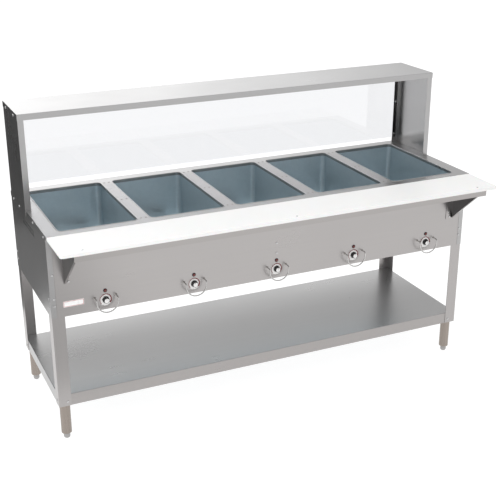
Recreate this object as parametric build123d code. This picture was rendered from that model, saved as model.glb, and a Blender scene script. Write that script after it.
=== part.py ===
"""Five-well electric steam table with an overshelf, a clear guard and a cutting board.

Millimetres. +Z is up and the origin is on the floor, under the centre of the plan.
The operator stands at -Y, where the control panel and the cutting board are.
Sheet metal is modelled at its real thickness, so neighbouring sheets touch face to face.
"""

import os
from math import atan2, degrees

from build123d import *

# Driving dimensions
TOP_LENGTH = 1838.4
TOP_HEIGHT = 863.6
OVERALL_DEPTH = 794.0
BOARD_DEPTH = 194.0
WELL_COUNT = 5
WELL_PITCH = 355.6
WELL_WIDTH = 304.0
WELL_LENGTH = 505.0
WELL_FRONT_MARGIN = 41.0
WELL_CORNER = 19.0
LINER_FLOOR = 660.0
PANEL_SETBACK = 21.0
PANEL_BOTTOM = 532.5
SHELF_TOP = 202.3
SHELF_BOTTOM = 153.6
OVERSHELF_TOP = 1239.6
OVERSHELF_FRONT = 118.9
OVERSHELF_DEPTH = 257.7

# Stock
SHEET = 1.2
ANGLE_SHEET = 1.9
ANGLE_FLANGE = 49.5
LIP = 22.0
RETURN = 20.0
COLLAR = 12.0
BOARD_THICKNESS = 12.7
GUARD_THICKNESS = 6.0
EDGE_RADIUS = 1.8

# Fasteners: pan heads for the sheet metal, flush heads for the board
HEAD_RADIUS = 4.6
HEAD_HEIGHT = 2.2
HEAD_ROUND = 1.3
SHANK_RADIUS = 2.4
SHANK_LENGTH = 6.0
RECESS_REACH = 2.4
RECESS_WIDTH = 0.9
RECESS_DEPTH = 1.2
FLUSH_RADIUS = 4.5
FLUSH_DEPTH = 2.5
TOP_LIP_SCREW_DROP = 12.5
TOP_LIP_SCREW_Y = (-160.0, 7.0)
REAR_LIP_SCREW_X = (-690.0, -230.0, 230.0, 690.0)
SUPPORT_SCREW_DROP = 16.0
SUPPORT_SCREW_Y = (230.0, 333.0)
SHELF_SCREW_Y = (185.0, 320.0)
END_SCREW_Y = (-160.0, 372.0)
END_SCREW_Z = (572.0, 605.0)
CORNER_SCREW_X = 904.0
CORNER_SCREW_Z = (580.0, 609.0, 705.0)
LEG_SCREW_X = 882.0
LEG_SCREW_Y = (-150.0, 362.0)
LEG_SCREW_Z = 172.0
BRACKET_SCREW_X = 842.0
BRACKET_SCREW_Z = (694.0, 790.0)
GUARD_SCREW_X = 897.0
GUARD_SCREW_Z = (906.0, 1060.0, 1190.0)
PANEL_SCREW_X = 10.0
PANEL_SCREW_Z = (641.0, 684.0)

# Spot-weld dimples beside each divider of the worktop
DIMPLE_RADIUS = 2.4
DIMPLE_DEPTH = 0.4
DIMPLE_OFFSET = 10.0
DIMPLE_END_GAP = 30.0

# How far a cut runs on past the face it opens
OVERRUN = 1.0

# Planes that several pieces share
FRONT = -OVERALL_DEPTH / 2
TOP_BACK = OVERALL_DEPTH / 2 - HEAD_HEIGHT
TOP_FRONT = FRONT + BOARD_DEPTH
HALF_TOP = TOP_LENGTH / 2
PANEL_FACE = TOP_FRONT + PANEL_SETBACK
PANEL_BACK = PANEL_FACE + SHEET
END_FACE = HALF_TOP - SHEET
END_INSIDE = END_FACE - SHEET
REAR_FACE = TOP_BACK - SHEET
REAR_INSIDE = REAR_FACE - SHEET
SHEET_UNDERSIDE = TOP_HEIGHT - SHEET
WELL_CENTRE_Y = TOP_FRONT + WELL_FRONT_MARGIN + WELL_LENGTH / 2
WELL_X = [WELL_PITCH * (n - (WELL_COUNT - 1) / 2) for n in range(WELL_COUNT)]
LEG_TOP = TOP_HEIGHT - 28.0
LEG_FRONT = PANEL_BACK
LEG_BACK = REAR_INSIDE
LEG_SIDE = END_INSIDE
CORNER_RETURN = 20.3
PANEL_SLOT = 1.5
PANEL_HALF = END_FACE - CORNER_RETURN - PANEL_SLOT
LEG_CLEARANCE = 1.0

# Liner: hangs by a flange clamped under the worktop, outside the turned-down collar
LINER_GAP = 0.5
LINER_FLANGE = 12.0
LINER_BEND = 12.0
LINER_CORNER = WELL_CORNER + SHEET + LINER_GAP
LINER_INSIDE_X = WELL_WIDTH + 2 * (SHEET + LINER_GAP)
LINER_INSIDE_Y = WELL_LENGTH + 2 * (SHEET + LINER_GAP)

# Heating element in each well
ELEMENT_RADIUS = 4.0
ELEMENT_Z = LINER_FLOOR + SHEET + 15.0
ELEMENT_PASSES = (-105.0, -35.0, 35.0, 105.0)
ELEMENT_BACK = 205.0
ELEMENT_RETURN = -165.0
ELEMENT_BEND = 34.0
ELEMENT_LEAD_BEND = 10.0
ELEMENT_LEAD_END = 626.0
ELEMENT_LEAD_HOLE = 6.0
SUPPORT_Y = (-120.0, 120.0)
SUPPORT_WIDTH = 10.0
INSULATION_THICKNESS = 26.0
INSULATION_HALF_LENGTH = 862.0

# Controls: one set under each well
CONTROL_PITCH = 359.0
CONTROL_OFFSET = 10.0
CONTROL_X = [CONTROL_OFFSET + CONTROL_PITCH * (n - (WELL_COUNT - 1) / 2) for n in range(WELL_COUNT)]
CONTROL_Z = 573.0
DIAL_RADIUS = 24.3
DIAL_THICKNESS = 1.0
KNOB_GAP = 0.5
KNOB_SKIRT_RADIUS = 13.5
KNOB_SKIRT = 3.0
KNOB_RADIUS = 12.0
KNOB_FACE_RADIUS = 10.5
KNOB_HEIGHT = 16.0
KNOB_ROUND = 1.2
KNOB_SOCKET = 11.0
SHAFT_RADIUS = 3.0
SHAFT_CLEARANCE = 0.05
SHAFT_DEPTH = 30.0
SHAFT_END_GAP = 0.5
BUSHING_RADIUS = 5.0
SWITCH_SIZE = (40.0, 34.0, 36.0)
PILOT_Z = 610.0
PILOT_RADIUS = 6.0
PILOT_BEZEL_RADIUS = 8.0
PILOT_BEZEL = 1.6
PILOT_DOME = 4.0
PILOT_ROUND = 3.5
PILOT_DEPTH = 24.0

# Wire guard round each knob
WIRE_RADIUS = 2.4
HOOP_RADIUS = 42.0
HOOP_STANDOFF = 27.0
HOOP_LEG_Z = 586.0
HOOP_BEND = 7.0

# Legs, tubes and feet
TUBE_RADIUS = 20.65
TUBE_WALL = 1.5
TUBE_BOTTOM = 25.0
TUBE_INSET = 25.5
TUBE_CHAMFER = 1.4
INSERT_HEIGHT = 20.0
GUSSET = 44.0
GUSSET_THICKNESS = 3.0
STEM_RADIUS = 5.0
STEM_CLEARANCE = 0.05
STEM_LENGTH = 40.0
FOOT_RADIUS = 13.0
FOOT_ROUND = 7.0
TUBE_X = LEG_SIDE - ANGLE_SHEET - TUBE_INSET
TUBE_Y = (LEG_FRONT + ANGLE_SHEET + TUBE_INSET, LEG_BACK - ANGLE_SHEET - TUBE_INSET)

# Undershelf
SHELF_HEM = 15.0
HEM_END_GAP = 70.0
CHANNEL_Y = (10.0, 200.0)
CHANNEL_WIDTH = 60.0
CHANNEL_DEPTH = 25.0
CHANNEL_HALF_LENGTH = 855.0

# Cutting board and what carries it
BOARD_HALF_LENGTH = 917.0
BOARD_CORNER = 12.0
BOARD_GAP = 0.3
BOARD_UNDERSIDE = TOP_HEIGHT - BOARD_THICKNESS
CARRIER_HALF_LENGTH = 868.0
CARRIER_FRONT = FRONT + 7.0
CARRIER_LIP = 24.0
CARRIER_UNDERSIDE = BOARD_UNDERSIDE - SHEET
CARRIER_REAR_HALF = 800.0
BRACKET_X = 862.0
BRACKET_BOTTOM = 663.0
BRACKET_FLANGE = 35.0
BRACKET_TOP_FLANGE = 25.0
BRACKET_RIM = 8.0
BRACKET_NOSE = 6.0
BRACKET_CLEARANCE = 1.0
RIM_TRIM = 6.0
BOARD_SCREW_X = (-832.0, 0.0, 832.0)
BOARD_SCREW_Y = FRONT + 22.0

# Overshelf
OVERSHELF_BACK = OVERSHELF_FRONT + OVERSHELF_DEPTH
OVERSHELF_LIP = 24.0
OVERSHELF_HALF = HALF_TOP + 2 * SHEET
SUPPORT_FLANGE = 23.0
SUPPORT_REAR_FLANGE = 30.0
SUPPORT_FOOT = 48.0
GUARD_BOTTOM = TOP_HEIGHT + 26.0
GUARD_TOP = OVERSHELF_TOP - 8.0
GUARD_HALF = 905.0
GUARD_CORNER = 6.0

# Louvres in each end panel
LOUVRE_Y = (4.0, 189.0)
LOUVRE_Z = (796.0, 812.0)
LOUVRE_OPENING = 5.0
LOUVRE_HOOD = 1.0
LOUVRE_HOOD_HEIGHT = 3.0

# Electrical entry
GLAND_X = 820.0
GLAND_Y = 330.0
GLAND_THREAD = 10.0
GLAND_BORE = 6.5
GLAND_HEX = 14.0
GLAND_HEX_HEIGHT = 7.0
GLAND_ROUND = 3.0
GLAND_THREAD_END = 3.0
GLAND_DROP = 24.0
GLAND_NUT = 5.0
TERMINAL_X = (640.0, 740.0)
TERMINAL_Y = (285.0, 355.0)
TERMINAL_HEIGHT = 48.0
TERMINAL_CORNER = 4.0
HARNESS_RADIUS = 6.0
HARNESS_Y = -105.0
TAIL_RADIUS = 4.0

# Blank badge
BADGE_CENTRE = (-831.0, 582.0)
BADGE_SIZE = (79.0, 24.0)
BADGE_THICKNESS = 0.8
BADGE_CORNER = 2.0


def block(x, y, z):
    """A box given by its (low, high) ends along each axis."""
    size = [ends[1] - ends[0] for ends in (x, y, z)]
    return Pos(x[0], y[0], z[0]) * Box(*size, align=(Align.MIN, Align.MIN, Align.MIN))


def rod(start, direction, radius, length):
    """A round bar from a point along a direction."""
    base = Plane(origin=start, z_dir=direction)
    return base.location * Cylinder(radius, length, align=(Align.CENTER, Align.CENTER, Align.MIN))


def both(x):
    """The span of that half-length either side of the middle."""
    return (-x, x)


def side_span(side, outer, width):
    """The X span of a strip whose outer face is at outer, on the left (-1) or right (+1)."""
    return tuple(sorted((side * outer, side * (outer - width))))


def rounded_prism(width, length, corner, z):
    """A round-cornered upright prism about the Z axis, over the height span z."""
    face = Pos(0, 0, z[0]) * RectangleRounded(width, length, corner)
    return extrude(face, z[1] - z[0])


def pipe(points, radii, radius):
    """A round bar along straight runs joined by tangent arcs."""
    path = FilletPolyline(*points, radius=radii)
    section = Plane(origin=path @ 0, z_dir=path % 0) * Circle(radius)
    return sweep(section, path)


def cross_recess():
    """The two slots cut into a screw's head at the origin, which opens along +Z."""
    half = (-RECESS_WIDTH / 2, RECESS_WIDTH / 2)
    depth = (-RECESS_DEPTH, OVERRUN)
    return block(both(RECESS_REACH), half, depth) + block(half, both(RECESS_REACH), depth)


def fastener(start, direction):
    """A cross-recess pan-head screw seated on a face at start; direction points out of the face."""
    head = rod((0, 0, 0), (0, 0, 1), HEAD_RADIUS, HEAD_HEIGHT)
    head = fillet(head.faces().sort_by(Axis.Z)[-1].edges(), HEAD_ROUND)
    head -= Pos(0, 0, HEAD_HEIGHT) * cross_recess()
    head += rod((0, 0, 0), (0, 0, -1), SHANK_RADIUS, SHANK_LENGTH)
    return Plane(origin=start, z_dir=direction).location * head


def drilled(shape, shanks):
    """The shape with a hole for each fastener that meets it."""
    box = shape.bounding_box()
    near = [s for s in shanks if box.overlaps(s.bounding_box())]
    return shape - near if near else shape


def fastener_seats():
    """Every sheet-metal fastener as (point, outward direction)."""
    seats = []
    bracket_face = PANEL_FACE - ANGLE_SHEET
    guard_face = OVERSHELF_BACK - 2 * SHEET - GUARD_THICKNESS
    lip_z = TOP_HEIGHT - TOP_LIP_SCREW_DROP
    foot_z = TOP_HEIGHT - SUPPORT_SCREW_DROP
    shelf_z = OVERSHELF_TOP - SUPPORT_SCREW_DROP
    for side in (-1, 1):
        out = (side, 0, 0)
        seats += [((side * HALF_TOP, y, lip_z), out) for y in TOP_LIP_SCREW_Y]
        seats += [((side * (HALF_TOP + SHEET), y, foot_z), out) for y in SUPPORT_SCREW_Y]
        seats += [((side * OVERSHELF_HALF, y, shelf_z), out) for y in SHELF_SCREW_Y]
        seats += [((side * END_FACE, y, z), out) for y in END_SCREW_Y for z in END_SCREW_Z]
        seats += [((side * LEG_SIDE, y, LEG_SCREW_Z), out) for y in LEG_SCREW_Y]
        corner = side * CORNER_SCREW_X
        seats += [((corner, PANEL_FACE, z), (0, -1, 0)) for z in CORNER_SCREW_Z]
        seats += [((corner, REAR_FACE, z), (0, 1, 0)) for z in CORNER_SCREW_Z]
        seats += [((side * LEG_SCREW_X, LEG_FRONT, LEG_SCREW_Z), (0, -1, 0))]
        seats += [((side * LEG_SCREW_X, LEG_BACK, LEG_SCREW_Z), (0, 1, 0))]
        bracket = side * BRACKET_SCREW_X
        seats += [((bracket, bracket_face, z), (0, -1, 0)) for z in BRACKET_SCREW_Z]
        guard = side * GUARD_SCREW_X
        seats += [((guard, guard_face, z), (0, -1, 0)) for z in GUARD_SCREW_Z]
    seats += [((PANEL_SCREW_X, PANEL_FACE, z), (0, -1, 0)) for z in PANEL_SCREW_Z]
    seats += [((x, TOP_BACK, lip_z), (0, 1, 0)) for x in REAR_LIP_SCREW_X]
    return seats


def worktop():
    """Top sheet with turned-down edges, five collared openings and spot-weld dimples."""
    top = block(both(HALF_TOP), (TOP_FRONT, TOP_BACK), (TOP_HEIGHT - LIP, TOP_HEIGHT))
    inside = (TOP_FRONT + SHEET, TOP_BACK - SHEET)
    top -= block(both(HALF_TOP - SHEET), inside, (TOP_HEIGHT - LIP, SHEET_UNDERSIDE))
    under_board = (TOP_HEIGHT - LIP, BOARD_UNDERSIDE)
    top -= block(both(HALF_TOP), (TOP_FRONT, PANEL_FACE), under_board)
    for x in WELL_X:
        place = Pos(x, WELL_CENTRE_Y, 0)
        width = WELL_WIDTH + 2 * SHEET
        length = WELL_LENGTH + 2 * SHEET
        collar = (TOP_HEIGHT - COLLAR, TOP_HEIGHT)
        top += place * rounded_prism(width, length, WELL_CORNER + SHEET, collar)
    for x in WELL_X:
        place = Pos(x, WELL_CENTRE_Y, 0)
        through = (TOP_HEIGHT - LIP, TOP_HEIGHT + OVERRUN)
        top -= place * rounded_prism(WELL_WIDTH, WELL_LENGTH, WELL_CORNER, through)
    face = top.faces().sort_by(Axis.Z)[-1]
    top = fillet(face.edges(), EDGE_RADIUS)
    dimples = []
    bottom = TOP_HEIGHT - DIMPLE_DEPTH
    for left, right in zip(WELL_X, WELL_X[1:]):
        middle = (left + right) / 2
        for fraction in (-0.5, 0.0, 0.5):
            y = WELL_CENTRE_Y + fraction * (WELL_LENGTH - DIMPLE_END_GAP)
            for x in (middle - DIMPLE_OFFSET, middle + DIMPLE_OFFSET):
                dimples.append(rod((x, y, bottom), (0, 0, 1), DIMPLE_RADIUS, OVERRUN))
    return top - dimples


def element_path(x):
    """The heating element's centre line in the well at x: two leads and four passes."""
    y = WELL_CENTRE_Y
    first, second, third, last = (x + p for p in ELEMENT_PASSES)
    return [
        (first, y - ELEMENT_BACK, ELEMENT_LEAD_END),
        (first, y - ELEMENT_BACK, ELEMENT_Z),
        (first, y + ELEMENT_BACK, ELEMENT_Z),
        (second, y + ELEMENT_BACK, ELEMENT_Z),
        (second, y + ELEMENT_RETURN, ELEMENT_Z),
        (third, y + ELEMENT_RETURN, ELEMENT_Z),
        (third, y + ELEMENT_BACK, ELEMENT_Z),
        (last, y + ELEMENT_BACK, ELEMENT_Z),
        (last, y - ELEMENT_BACK, ELEMENT_Z),
        (last, y - ELEMENT_BACK, ELEMENT_LEAD_END),
    ]


def lead_holes(x):
    """Clearance round the element's two leads."""
    points = (element_path(x)[0], element_path(x)[-1])
    return [rod(p, (0, 0, 1), ELEMENT_LEAD_HOLE, ELEMENT_Z - ELEMENT_LEAD_END) for p in points]


def heating_element(x):
    """Bent tubular element on two rails that stand on the liner's floor."""
    points = element_path(x)
    bends = [ELEMENT_LEAD_BEND] + [ELEMENT_BEND] * (len(points) - 4) + [ELEMENT_LEAD_BEND]
    element = pipe(points, bends, ELEMENT_RADIUS)
    span = (x + ELEMENT_PASSES[0] - SUPPORT_WIDTH, x + ELEMENT_PASSES[-1] + SUPPORT_WIDTH)
    for y in SUPPORT_Y:
        rail = (WELL_CENTRE_Y + y - SUPPORT_WIDTH / 2, WELL_CENTRE_Y + y + SUPPORT_WIDTH / 2)
        element += block(span, rail, (LINER_FLOOR + SHEET, ELEMENT_Z - ELEMENT_RADIUS / 2))
    return element


def well_liner(x):
    """Deep galvanised pan with a hanging flange."""
    wide = LINER_INSIDE_X + 2 * SHEET
    long = LINER_INSIDE_Y + 2 * SHEET
    outside = rounded_prism(wide, long, LINER_CORNER + SHEET, (LINER_FLOOR, SHEET_UNDERSIDE))
    outside = fillet(outside.faces().sort_by(Axis.Z)[0].edges(), LINER_BEND)
    rim = (SHEET_UNDERSIDE - SHEET, SHEET_UNDERSIDE)
    spread = 2 * LINER_FLANGE
    outside += rounded_prism(wide + spread, long + spread, LINER_CORNER + LINER_FLANGE, rim)
    hollow = (LINER_FLOOR + SHEET, SHEET_UNDERSIDE + OVERRUN)
    inside = rounded_prism(LINER_INSIDE_X, LINER_INSIDE_Y, LINER_CORNER, hollow)
    inside = fillet(inside.faces().sort_by(Axis.Z)[0].edges(), LINER_BEND - SHEET)
    return Pos(x, WELL_CENTRE_Y, 0) * (outside - inside) - lead_holes(x)


def insulation():
    """Fibreglass blanket under the liners."""
    reach = WELL_LENGTH / 2
    y = (WELL_CENTRE_Y - reach, WELL_CENTRE_Y + reach)
    blanket = block(both(INSULATION_HALF_LENGTH), y, (LINER_FLOOR - INSULATION_THICKNESS, LINER_FLOOR))
    holes = []
    for x in WELL_X:
        holes += lead_holes(x)
    return blanket - holes


def control_panel():
    """Front sheet with a bottom return, bored for the switches and the pilot lights."""
    panel = block(both(PANEL_HALF), (PANEL_FACE, PANEL_BACK), (PANEL_BOTTOM, SHEET_UNDERSIDE))
    flange_half = LEG_SIDE - ANGLE_FLANGE - LEG_CLEARANCE
    bottom = (PANEL_BOTTOM, PANEL_BOTTOM + SHEET)
    panel += block(both(flange_half), (PANEL_FACE, PANEL_FACE + RETURN), bottom)
    for x in CONTROL_X:
        panel -= rod((x, PANEL_FACE, CONTROL_Z), (0, 1, 0), BUSHING_RADIUS, SHEET)
        panel -= rod((x, PANEL_FACE, PILOT_Z), (0, 1, 0), PILOT_RADIUS, SHEET)
    return panel


def rear_panel():
    """Back sheet with a bottom return."""
    panel = block(both(PANEL_HALF), (REAR_INSIDE, REAR_FACE), (PANEL_BOTTOM, SHEET_UNDERSIDE))
    flange_half = LEG_SIDE - ANGLE_FLANGE - LEG_CLEARANCE
    bottom = (PANEL_BOTTOM, PANEL_BOTTOM + SHEET)
    return panel + block(both(flange_half), (REAR_FACE - RETURN, REAR_FACE), bottom)


def end_panel(side):
    """End sheet folded round the front and rear corners, with two louvres."""
    height = (PANEL_BOTTOM, SHEET_UNDERSIDE)
    panel = block(side_span(side, END_FACE, SHEET), (PANEL_FACE, REAR_FACE), height)
    corner = side_span(side, END_FACE, CORNER_RETURN)
    panel += block(corner, (PANEL_FACE, PANEL_BACK), height)
    panel += block(corner, (REAR_INSIDE, REAR_FACE), height)
    beside_leg = ANGLE_FLANGE + LEG_CLEARANCE
    between = (LEG_FRONT + beside_leg, LEG_BACK - beside_leg)
    bottom = (PANEL_BOTTOM, PANEL_BOTTOM + SHEET)
    panel += block(side_span(side, END_FACE, RETURN), between, bottom)
    for z in LOUVRE_Z:
        opening = (z - LOUVRE_OPENING / 2, z + LOUVRE_OPENING / 2)
        panel -= block(side_span(side, END_FACE, SHEET), LOUVRE_Y, opening)
        hood = (opening[1], opening[1] + LOUVRE_HOOD_HEIGHT)
        panel += block(side_span(side, END_FACE + LOUVRE_HOOD, SHEET + LOUVRE_HOOD), LOUVRE_Y, hood)
    return panel


def bottom_pan():
    """Sheet that closes the underside, notched round the legs and bored for the gland."""
    z = (PANEL_BOTTOM + SHEET, PANEL_BOTTOM + 2 * SHEET)
    pan = block(both(END_INSIDE), (PANEL_BACK, REAR_INSIDE), z)
    notch = ANGLE_FLANGE + 2 * LEG_CLEARANCE
    for side in (-1, 1):
        x = side_span(side, END_INSIDE, notch)
        pan -= block(x, (PANEL_BACK, PANEL_BACK + notch), z)
        pan -= block(x, (REAR_INSIDE - notch, REAR_INSIDE), z)
    return pan - rod((GLAND_X, GLAND_Y, z[0]), (0, 0, 1), GLAND_THREAD, SHEET)


def leg(side, end):
    """Folded angle inside a corner; end is -1 at the front and +1 at the rear."""
    z = (SHELF_BOTTOM, LEG_TOP)
    outer = LEG_FRONT if end < 0 else LEG_BACK
    wide = tuple(sorted((outer, outer - end * ANGLE_FLANGE)))
    thin = tuple(sorted((outer, outer - end * ANGLE_SHEET)))
    flange = block(side_span(side, LEG_SIDE, ANGLE_SHEET), wide, z)
    return flange + block(side_span(side, LEG_SIDE, ANGLE_FLANGE), thin, z)


def leg_tube(x, y):
    """Round tube with a threaded insert at the bottom and a welded plate at the top."""
    top = SHELF_TOP - SHEET
    tube = rod((x, y, TUBE_BOTTOM), (0, 0, 1), TUBE_RADIUS, top - TUBE_BOTTOM)
    tube = chamfer(tube.faces().sort_by(Axis.Z)[0].edges(), TUBE_CHAMFER)
    bore_from = TUBE_BOTTOM + INSERT_HEIGHT
    height = top - GUSSET_THICKNESS - bore_from
    tube -= rod((x, y, bore_from), (0, 0, 1), TUBE_RADIUS - TUBE_WALL, height)
    tube -= rod((x, y, TUBE_BOTTOM), (0, 0, 1), STEM_RADIUS + STEM_CLEARANCE, INSERT_HEIGHT)
    half = GUSSET / 2
    return tube + block((x - half, x + half), (y - half, y + half), (top - GUSSET_THICKNESS, top))


def foot(x, y):
    """Bullet foot on a threaded stem."""
    body = rod((x, y, 0), (0, 0, 1), FOOT_RADIUS, TUBE_BOTTOM)
    body = fillet(body.faces().sort_by(Axis.Z)[0].edges(), FOOT_ROUND)
    return body + rod((x, y, TUBE_BOTTOM), (0, 0, 1), STEM_RADIUS, STEM_LENGTH)


def undershelf():
    """Folded shelf between the legs, with short hems along its bottom edges."""
    half = LEG_SIDE - ANGLE_SHEET
    front = LEG_FRONT + ANGLE_SHEET
    back = LEG_BACK - ANGLE_SHEET
    shelf = block(both(half), (front, back), (SHELF_BOTTOM, SHELF_TOP))
    inside = (front + SHEET, back - SHEET)
    shelf -= block(both(half - SHEET), inside, (SHELF_BOTTOM, SHELF_TOP - SHEET))
    bottom = (SHELF_BOTTOM, SHELF_BOTTOM + SHEET)
    long = both(half - HEM_END_GAP)
    shelf += block(long, (front, front + SHELF_HEM), bottom)
    shelf += block(long, (back - SHELF_HEM, back), bottom)
    across = (front + HEM_END_GAP, back - HEM_END_GAP)
    for side in (-1, 1):
        shelf += block(side_span(side, half, SHELF_HEM), across, bottom)
    return fillet(shelf.faces().sort_by(Axis.Z)[-1].edges(), EDGE_RADIUS)


def undershelf_channel(y):
    """Stiffening channel under the shelf, open side up."""
    top = SHELF_TOP - SHEET
    half = CHANNEL_WIDTH / 2
    channel = block(both(CHANNEL_HALF_LENGTH), (y - half, y + half), (top - CHANNEL_DEPTH, top))
    inside = (y - half + SHEET, y + half - SHEET)
    return channel - block(both(CHANNEL_HALF_LENGTH), inside, (top - CHANNEL_DEPTH + SHEET, top))


def flush_screw(x):
    """Board screw with a straight flush head, before its recess is cut."""
    face = (x, BOARD_SCREW_Y, TOP_HEIGHT)
    depth = BOARD_THICKNESS + 2 * SHEET
    return rod(face, (0, 0, -1), FLUSH_RADIUS, FLUSH_DEPTH) + rod(face, (0, 0, -1), SHANK_RADIUS, depth)


def board_screw(x):
    """The flush screw with its cross recess."""
    return flush_screw(x) - Pos(x, BOARD_SCREW_Y, TOP_HEIGHT) * cross_recess()


def cutting_board():
    """Poly board level with the worktop, with rounded front corners."""
    span = (FRONT, TOP_FRONT - BOARD_GAP)
    board = block(both(BOARD_HALF_LENGTH), span, (BOARD_UNDERSIDE, TOP_HEIGHT))
    upright = board.edges().filter_by(Axis.Z).group_by(Axis.Y)[0]
    board = fillet(upright, BOARD_CORNER)
    board = fillet(board.faces().sort_by(Axis.Z)[-1].edges(), EDGE_RADIUS)
    return board - [flush_screw(x) for x in BOARD_SCREW_X]


def board_shelf():
    """Sheet under the board, with a front lip and a rear flange on the panel."""
    x = both(CARRIER_HALF_LENGTH)
    shelf = block(x, (CARRIER_FRONT, PANEL_FACE), (CARRIER_UNDERSIDE, BOARD_UNDERSIDE))
    lip = (BOARD_UNDERSIDE - CARRIER_LIP, BOARD_UNDERSIDE)
    shelf += block(x, (CARRIER_FRONT, CARRIER_FRONT + SHEET), lip)
    rear = (BOARD_UNDERSIDE - RETURN, BOARD_UNDERSIDE)
    shelf += block(both(CARRIER_REAR_HALF), (PANEL_FACE - SHEET, PANEL_FACE), rear)
    return shelf - [flush_screw(x) for x in BOARD_SCREW_X]


def board_bracket(side):
    """Tapered bracket: web, panel flange, top flange and a turned rim along the slope."""
    top = CARRIER_UNDERSIDE
    nose_y = CARRIER_FRONT + SHEET + BRACKET_CLEARANCE
    nose_z = top - BRACKET_NOSE
    web_x = side_span(side, BRACKET_X, ANGLE_SHEET)
    outline = Polyline(
        (PANEL_FACE, BRACKET_BOTTOM), (PANEL_FACE, top), (nose_y, top), (nose_y, nose_z), close=True
    )
    web = extrude(Plane.YZ * make_face(outline), ANGLE_SHEET)
    bracket = Pos(web_x[0], 0, 0) * web
    flange = (PANEL_FACE - ANGLE_SHEET, PANEL_FACE)
    bracket += block(side_span(side, BRACKET_X, BRACKET_FLANGE), flange, (BRACKET_BOTTOM, top))
    cap = (top - ANGLE_SHEET, top)
    bracket += block(side_span(side, BRACKET_X, BRACKET_TOP_FLANGE), (nose_y, PANEL_FACE), cap)
    rise = nose_z - BRACKET_BOTTOM
    run = PANEL_FACE - nose_y
    slope = degrees(atan2(rise, run))
    length = (rise**2 + run**2) ** 0.5
    along = (-length + RIM_TRIM, -RIM_TRIM)
    rim = block(side_span(side, BRACKET_X, BRACKET_RIM), along, (0, ANGLE_SHEET))
    return bracket + Pos(0, PANEL_FACE, BRACKET_BOTTOM) * Rot(-slope, 0, 0) * rim


def overshelf_top():
    """Box-edged shelf that caps the two supports."""
    y = (OVERSHELF_FRONT, OVERSHELF_BACK)
    top = block(both(OVERSHELF_HALF), y, (OVERSHELF_TOP - OVERSHELF_LIP, OVERSHELF_TOP))
    inside = (y[0] + SHEET, y[1] - SHEET)
    hollow = (OVERSHELF_TOP - OVERSHELF_LIP, OVERSHELF_TOP - SHEET)
    top -= block(both(OVERSHELF_HALF - SHEET), inside, hollow)
    return fillet(top.faces().sort_by(Axis.Z)[-1].edges(), EDGE_RADIUS)


def overshelf_end(side):
    """Upright support: plate outside the worktop, with flanges that stand on it."""
    top = OVERSHELF_TOP - SHEET
    y = (OVERSHELF_FRONT + SHEET, OVERSHELF_BACK - SHEET)
    outer = HALF_TOP + SHEET
    support = block(side_span(side, outer, SHEET), y, (TOP_HEIGHT - SUPPORT_FOOT, top))
    stand = (TOP_HEIGHT, top)
    support += block(side_span(side, outer, SUPPORT_FLANGE), (y[0], y[0] + SHEET), stand)
    support += block(side_span(side, outer, SUPPORT_REAR_FLANGE), (y[1] - SHEET, y[1]), stand)
    return support + block(side_span(side, outer, RETURN), y, (top - SHEET, top))


def sneeze_guard():
    """Clear sheet bolted to the front of the supports' rear flanges."""
    back = OVERSHELF_BACK - 2 * SHEET
    sheet = block(both(GUARD_HALF), (back - GUARD_THICKNESS, back), (GUARD_BOTTOM, GUARD_TOP))
    return fillet(sheet.edges().filter_by(Axis.Y), GUARD_CORNER)


def dial_plate(x):
    """Round plate behind the knob."""
    disc = rod((x, PANEL_FACE, CONTROL_Z), (0, -1, 0), DIAL_RADIUS, DIAL_THICKNESS)
    return disc - rod((x, PANEL_FACE, CONTROL_Z), (0, -1, 0), BUSHING_RADIUS, DIAL_THICKNESS)


def knob(x):
    """Tapered knob on a skirt, with a socket for the shaft."""
    base = -DIAL_THICKNESS - KNOB_GAP
    face = base - KNOB_HEIGHT
    outline = Polyline(
        (0, base),
        (KNOB_SKIRT_RADIUS, base),
        (KNOB_SKIRT_RADIUS, base - KNOB_SKIRT),
        (KNOB_RADIUS, base - KNOB_SKIRT),
        (KNOB_FACE_RADIUS, face),
        (0, face),
        close=True,
    )
    body = revolve(make_face(outline), Axis.Y)
    body = fillet(body.faces().sort_by(Axis.Y)[0].edges(), KNOB_ROUND)
    body -= rod((0, base, 0), (0, -1, 0), SHAFT_RADIUS, KNOB_SOCKET)
    return Pos(x, PANEL_FACE, CONTROL_Z) * body


def switch_shaft(x):
    """Shaft from the knob's socket into the switch."""
    tip = PANEL_FACE - DIAL_THICKNESS - KNOB_GAP - KNOB_SOCKET
    length = PANEL_BACK + SHAFT_DEPTH - tip - SHAFT_END_GAP
    return rod((x, tip, CONTROL_Z), (0, 1, 0), SHAFT_RADIUS, length)


def heat_switch(x):
    """Infinite-control switch: box with a bushing through the panel and the dial plate."""
    width, depth, height = SWITCH_SIZE
    z = (CONTROL_Z - height / 2, CONTROL_Z + height / 2)
    body = block((x - width / 2, x + width / 2), (PANEL_BACK, PANEL_BACK + depth), z)
    nose = (x, PANEL_FACE - DIAL_THICKNESS, CONTROL_Z)
    reach = PANEL_BACK - nose[1]
    body += rod(nose, (0, 1, 0), BUSHING_RADIUS, reach)
    return body - rod(nose, (0, 1, 0), SHAFT_RADIUS + SHAFT_CLEARANCE, reach + SHAFT_DEPTH)


def pilot_light(x):
    """Neon pilot light: domed lens in a bezel, with its barrel through the panel."""
    seat = (x, PANEL_FACE, PILOT_Z)
    light = rod(seat, (0, -1, 0), PILOT_BEZEL_RADIUS, PILOT_BEZEL)
    light += rod(seat, (0, 1, 0), PILOT_RADIUS, PILOT_DEPTH)
    lens = rod(seat, (0, -1, 0), PILOT_RADIUS, PILOT_BEZEL + PILOT_DOME)
    return light + fillet(lens.faces().sort_by(Axis.Y)[0].edges(), PILOT_ROUND)


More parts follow.
